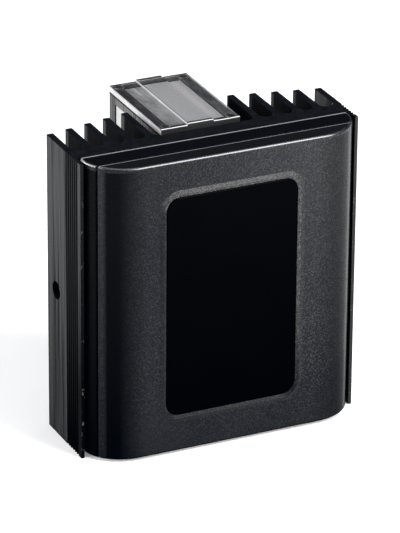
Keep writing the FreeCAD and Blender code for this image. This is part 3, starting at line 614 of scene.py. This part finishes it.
materials = {
    "sink": extrusion("anodised_extrusion"),
    "case": case_coat("anodised_case"),
    "front": grained("grained_front"),
    "window": window_black("window_black"),
    "lid": clear_with_sawn_edges("clear_lid_plastic"),
    "lid_seal": seal("lid_seal_rubber"),
    "lens": clear("clear_lens_plastic", 0.05),
    "rubber": plain("black_rubber", grey(0.006), grey(0.014), 0.8, COARSE, 0.00003),
    "pad": plain("grey_pad", grey(0.3), grey(0.4), 0.75, COARSE, 0.00003),
    "steel": plain("plated_steel", grey(0.42), grey(0.6), 0.32, TURNED, 0.000004, 1.0),
    "dark_steel": plain("blackened_steel", grey(0.03), grey(0.06), 0.4, TURNED, 0.000004, 0.6),
    "panel": panel_coat("grey_panel"),
    "label": plain("blank_label", grey(0.37), grey(0.43), 0.5, FINE, 0.000006),
    "white_board": plain("white_board", grey(0.65), grey(0.75), 0.5, FINE, 0.00001),
    "green_board": plain("green_board", (0.01, 0.09, 0.03), (0.02, 0.14, 0.05), 0.4, FINE,
                         0.00001),
    "package": plain("lamp_package", (0.7, 0.69, 0.62), (0.8, 0.79, 0.7), 0.45, FINE, 0.00001),
    "moulded": plain("moulded_black", grey(0.012), grey(0.024), 0.55, FINE, 0.00002),
    "green_moulded": plain("moulded_green", (0.02, 0.16, 0.05), (0.03, 0.22, 0.08), 0.5, FINE,
                           0.00002),
    "ferrite": plain("ferrite", grey(0.03), grey(0.05), 0.7, COARSE, 0.00003),
    "can": plain("capacitor_can", (0.02, 0.025, 0.06), (0.03, 0.035, 0.09), 0.35, FINE,
                 0.00001),
    "insulation": plain("lead_insulation", (0.35, 0.01, 0.01), (0.45, 0.02, 0.02), 0.45, FINE,
                        0.00001),
}

finishes = {
    "sink": ["heat_sink"],
    "case": ["driver_case"],
    "front": ["front_frame", "front_cover"],
    "window": ["window_pane"],
    "lid": ["clear_lid"],
    "lens": ["lens_array"],
    "lid_seal": ["lid_gasket"],
    "rubber": ["frame_gasket", "cover_gasket", "window_seal", "case_seal", "lead_grommet",
               "gland_seal"],
    "pad": ["thermal_pad"],
    "steel": ["window_retainer", "retainer_screws", "board_screws", "cover_screws",
              "case_screws"],
    "dark_steel": ["lid_screws"],
    "panel": ["inner_panel"],
    "label": ["side_label"],
    "white_board": ["led_board"],
    "green_board": ["driver_board"],
    "package": ["leds"],
    "moulded": ["driver_connector", "board_connector", "light_sensor", "power_transistor",
                "driver_chips", "cable_gland_body", "gland_nut", "gland_locknut"],
    "green_moulded": ["terminal_block"],
    "ferrite": ["inductor"],
    "can": ["capacitors"],
    "insulation": ["led_leads"],
}


def dress(names, material):
    for name in names:
        slots = nodes[name].data.materials
        for k in range(len(slots)):
            slots[k] = material


for finish, names in finishes.items():
    dress(names, materials[finish])


def make_floor():
    half = FLOOR_SIDE / 2
    mesh = bpy.data.meshes.new("floor")
    corners = [(-half, -half, 0), (half, -half, 0), (half, half, 0), (-half, half, 0)]
    mesh.from_pydata(corners, [], [(0, 1, 2, 3)])
    floor = bpy.data.objects.new("floor", mesh)
    bpy.context.scene.collection.objects.link(floor)
    g = Graph("pale_floor")
    paper = g.noise((0.002, 0.002, 0.002), 3.0)
    g.set(
        base_color=g.mix(paper, grey(0.86), grey(0.90)),
        roughness=0.9,
        specular_ior_level=0.1,
        emission_color=(1.0, 1.0, 1.0),
        emission_strength=0.2,
    )
    mesh.materials.append(g.material)


def softbox(name, azimuth, elevation, distance, width, height, radiance):
    """A flat light that looks at the object's middle. Azimuth 0 is in front, 90 to the right."""
    target = Vector((0, 0, MIDDLE_HEIGHT))
    a = math.radians(azimuth)
    e = math.radians(elevation)
    away = Vector((math.sin(a) * math.cos(e), -math.cos(a) * math.cos(e), math.sin(e)))
    light = bpy.data.lights.new(name, "AREA")
    light.shape = "RECTANGLE"
    light.size = width
    light.size_y = height
    light.energy = radiance * math.pi * width * height
    made = bpy.data.objects.new(name, light)
    made.location = target + distance * away
    made.rotation_euler = away.to_track_quat("Z", "Y").to_euler()
    bpy.context.scene.collection.objects.link(made)


def make_lights():
    world = bpy.data.worlds.new("studio")
    world.use_nodes = True
    world.node_tree.nodes["Background"].inputs["Color"].default_value = WORLD_COLOUR
    bpy.context.scene.world = world
    softbox("key", azimuth=36, elevation=42, distance=1.3, width=0.6, height=1.05, radiance=13.0)
    softbox("low", azimuth=20, elevation=9, distance=0.9, width=0.9, height=0.25, radiance=6.0)
    softbox("left", azimuth=-100, elevation=20, distance=1.2, width=1.9, height=0.4, radiance=10.0)
    softbox("overhead", azimuth=0, elevation=88, distance=1.5, width=1.6, height=1.6, radiance=1.3)


def make_camera():
    right = Vector((math.cos(YAW), -math.sin(YAW), 0))
    forward = Vector(
        (math.sin(YAW) * math.cos(PITCH), math.cos(YAW) * math.cos(PITCH), -math.sin(PITCH))
    )
    up = right.cross(forward)
    tilted_right = math.cos(ROLL) * right + math.sin(ROLL) * up
    tilted_up = math.cos(ROLL) * up - math.sin(ROLL) * right
    place = (
        -CAMERA_RIGHT_OFFSET * tilted_right
        - CAMERA_UP_OFFSET * tilted_up
        - CAMERA_DISTANCE * forward
        + Vector((0, FIT_ORIGIN_Y, 0))
    )
    data = bpy.data.cameras.new("photo_camera")
    data.sensor_width = SENSOR
    data.lens = FOCAL_PIXELS * SENSOR / PHOTO_HEIGHT
    data.clip_start = 0.05
    camera = bpy.data.objects.new("photo_camera", data)
    axes = Matrix((tilted_right, tilted_up, -forward)).transposed()
    camera.matrix_world = Matrix.Translation(place * MM) @ axes.to_4x4()
    bpy.context.scene.collection.objects.link(camera)
    bpy.context.scene.camera = camera


make_floor()
make_lights()
make_camera()
bpy.context.scene.view_settings.view_transform = "Standard"
